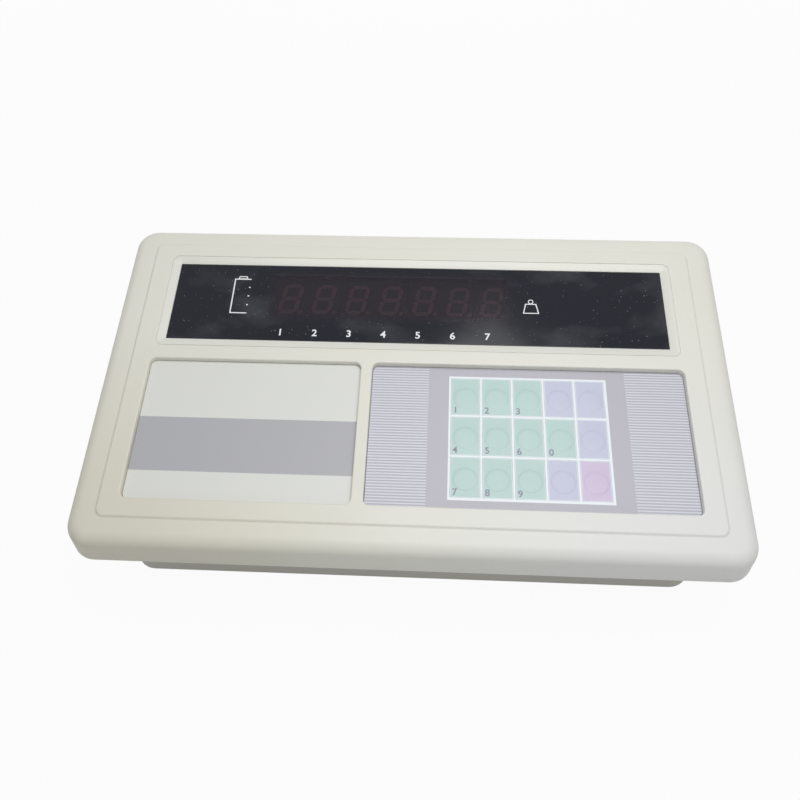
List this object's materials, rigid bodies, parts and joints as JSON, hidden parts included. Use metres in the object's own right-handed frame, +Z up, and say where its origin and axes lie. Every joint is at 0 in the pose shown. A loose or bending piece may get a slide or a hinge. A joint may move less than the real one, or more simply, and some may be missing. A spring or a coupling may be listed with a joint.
{
  "type": "weighing indicator",
  "caption": "Desktop weighing indicator: sloped two-part case with a smoked digit window, a membrane keypad, a blanking panel and a rear panel of sockets.",
  "frame": {"origin": "on the resting surface under the middle of the case's bounding box", "axes": "+X to the right along the case's width, +Y to the back, +Z up"},
  "size_m": [0.342, 0.194, 0.1138],
  "materials": {
    "lid_plastic": "fine satin texture, warm ivory ABS",
    "base_plastic": "fine satin texture, warm ivory ABS",
    "panel_steel": "satin powder coat",
    "smoked_acrylic": "polished smoked acrylic",
    "circuit_board": "green solder mask",
    "digit_face": "dark digit face with dull red segments",
    "lamp_red": "tinted epoxy",
    "blanking_sheet": "matt printed sheet",
    "overlay_sheet": "matt printed polyester",
    "spacer_sheet": "plain sheet",
    "circuit_film": "printed circuit film",
    "dome_steel": "stamped",
    "flat_cable": "ribbed flat cable",
    "chip_plastic": "moulded epoxy",
    "bright_steel": "zinc plated",
    "capacitor_sleeve": "shrink sleeve",
    "black_aluminium": "black anodised",
    "brass_posts": "turned",
    "core_iron": "laminated, varnished",
    "coil_tape": "winding tape over copper",
    "battery_case": "moulded case",
    "black_plastic": "moulded, fine texture",
    "brass_blades": "plated",
    "rocker_plastic": "polished",
    "fuse_glass": "clear",
    "nickel_plate": "nickel plated",
    "tinned_shell": "tinned",
    "lead_insulation": "smooth insulation",
    "screw_steel": "zinc plated",
    "foot_rubber": "matt",
    "key_green": "matt printed polyester",
    "key_lavender": "matt printed polyester",
    "key_pink": "matt printed polyester"
  },
  "bodies": {
    "case": {"upper_shell": "lid_plastic", "lower_shell": "base_plastic", "rear_panel": "panel_steel", "display_window": "smoked_acrylic", "display_board": "circuit_board", "digit_modules": "digit_face", "status_lamps": "lamp_red", "blanking_panel": "blanking_sheet", "keypad_overlay": "overlay_sheet", "keypad_spacer": "spacer_sheet", "keypad_circuit": "circuit_film", "snap_domes": "dome_steel", "keypad_tail": "flat_cable", "main_board": "circuit_board", "board_chips": "chip_plastic", "shield_can": "bright_steel", "filter_capacitors": "capacitor_sleeve", "buzzer": "chip_plastic", "heat_sink": "black_aluminium", "regulator_chip": "chip_plastic", "ribbon_headers": "chip_plastic", "display_ribbon": "flat_cable", "board_standoffs": "brass_posts", "transformer_core": "core_iron", "transformer_coil": "coil_tape", "transformer_bracket": "bright_steel", "battery": "battery_case", "battery_strap": "bright_steel", "mains_inlet": "black_plastic", "inlet_blades": "brass_blades", "switch_housing": "black_plastic", "fuse_holder": "black_plastic", "load_cell_socket": "nickel_plate", "panel_nuts": "nickel_plate", "data_sockets": "tinned_shell", "jack_screws": "nickel_plate", "calibration_cover": "bright_steel", "mains_leads": "lead_insulation", "case_screws": "screw_steel", "small_screws": "screw_steel", "feet": "foot_rubber", "foot_screws": "screw_steel"},
    "rocker": {"power_rocker": "rocker_plastic"},
    "fuse_carrier": {"fuse_cap": "black_plastic", "glass_fuse": "fuse_glass"},
    "key_0_cap": {"key_0": "key_green"},
    "key_1_cap": {"key_1": "key_green"},
    "key_2_cap": {"key_2": "key_green"},
    "key_3_cap": {"key_3": "key_green"},
    "key_4_cap": {"key_4": "key_green"},
    "key_5_cap": {"key_5": "key_green"},
    "key_6_cap": {"key_6": "key_green"},
    "key_7_cap": {"key_7": "key_green"},
    "key_8_cap": {"key_8": "key_green"},
    "key_9_cap": {"key_9": "key_green"},
    "key_tare_cap": {"key_tare": "key_lavender"},
    "key_input_cap": {"key_input": "key_lavender"},
    "key_weigh_cap": {"key_weigh": "key_lavender"},
    "key_print_cap": {"key_print": "key_lavender"},
    "key_zero_cap": {"key_zero": "key_pink"}
  },
  "joints": [
    {"name": "power_switch", "type": "hinge", "parent": "case", "child": "rocker", "pos_m": [-0.06154, 0.0835, 0.05], "axis": [1, 0, 0], "range_deg": [-18, 0]},
    {"name": "fuse_twist", "type": "hinge", "parent": "case", "child": "fuse_carrier", "pos_m": [-0.03344, 0.0825, 0.05], "axis": [0, 1, 0], "range_deg": [0, 90]},
    {"name": "key_0_press", "type": "slide", "parent": "case", "child": "key_0_cap", "axis": [0, 0.2588, -0.9659], "range_m": [0, 0.0004], "stiffness_N_per_m": 800},
    {"name": "key_1_press", "type": "slide", "parent": "case", "child": "key_1_cap", "axis": [0, 0.2588, -0.9659], "range_m": [0, 0.0004], "stiffness_N_per_m": 800},
    {"name": "key_2_press", "type": "slide", "parent": "case", "child": "key_2_cap", "axis": [0, 0.2588, -0.9659], "range_m": [0, 0.0004], "stiffness_N_per_m": 800},
    {"name": "key_3_press", "type": "slide", "parent": "case", "child": "key_3_cap", "axis": [0, 0.2588, -0.9659], "range_m": [0, 0.0004], "stiffness_N_per_m": 800},
    {"name": "key_4_press", "type": "slide", "parent": "case", "child": "key_4_cap", "axis": [0, 0.2588, -0.9659], "range_m": [0, 0.0004], "stiffness_N_per_m": 800},
    {"name": "key_5_press", "type": "slide", "parent": "case", "child": "key_5_cap", "axis": [0, 0.2588, -0.9659], "range_m": [0, 0.0004], "stiffness_N_per_m": 800},
    {"name": "key_6_press", "type": "slide", "parent": "case", "child": "key_6_cap", "axis": [0, 0.2588, -0.9659], "range_m": [0, 0.0004], "stiffness_N_per_m": 800},
    {"name": "key_7_press", "type": "slide", "parent": "case", "child": "key_7_cap", "axis": [0, 0.2588, -0.9659], "range_m": [0, 0.0004], "stiffness_N_per_m": 800},
    {"name": "key_8_press", "type": "slide", "parent": "case", "child": "key_8_cap", "axis": [0, 0.2588, -0.9659], "range_m": [0, 0.0004], "stiffness_N_per_m": 800},
    {"name": "key_9_press", "type": "slide", "parent": "case", "child": "key_9_cap", "axis": [0, 0.2588, -0.9659], "range_m": [0, 0.0004], "stiffness_N_per_m": 800},
    {"name": "key_tare_press", "type": "slide", "parent": "case", "child": "key_tare_cap", "axis": [0, 0.2588, -0.9659], "range_m": [0, 0.0004], "stiffness_N_per_m": 800},
    {"name": "key_input_press", "type": "slide", "parent": "case", "child": "key_input_cap", "axis": [0, 0.2588, -0.9659], "range_m": [0, 0.0004], "stiffness_N_per_m": 800},
    {"name": "key_weigh_press", "type": "slide", "parent": "case", "child": "key_weigh_cap", "axis": [0, 0.2588, -0.9659], "range_m": [0, 0.0004], "stiffness_N_per_m": 800},
    {"name": "key_print_press", "type": "slide", "parent": "case", "child": "key_print_cap", "axis": [0, 0.2588, -0.9659], "range_m": [0, 0.0004], "stiffness_N_per_m": 800},
    {"name": "key_zero_press", "type": "slide", "parent": "case", "child": "key_zero_cap", "axis": [0, 0.2588, -0.9659], "range_m": [0, 0.0004], "stiffness_N_per_m": 800}
  ]
}
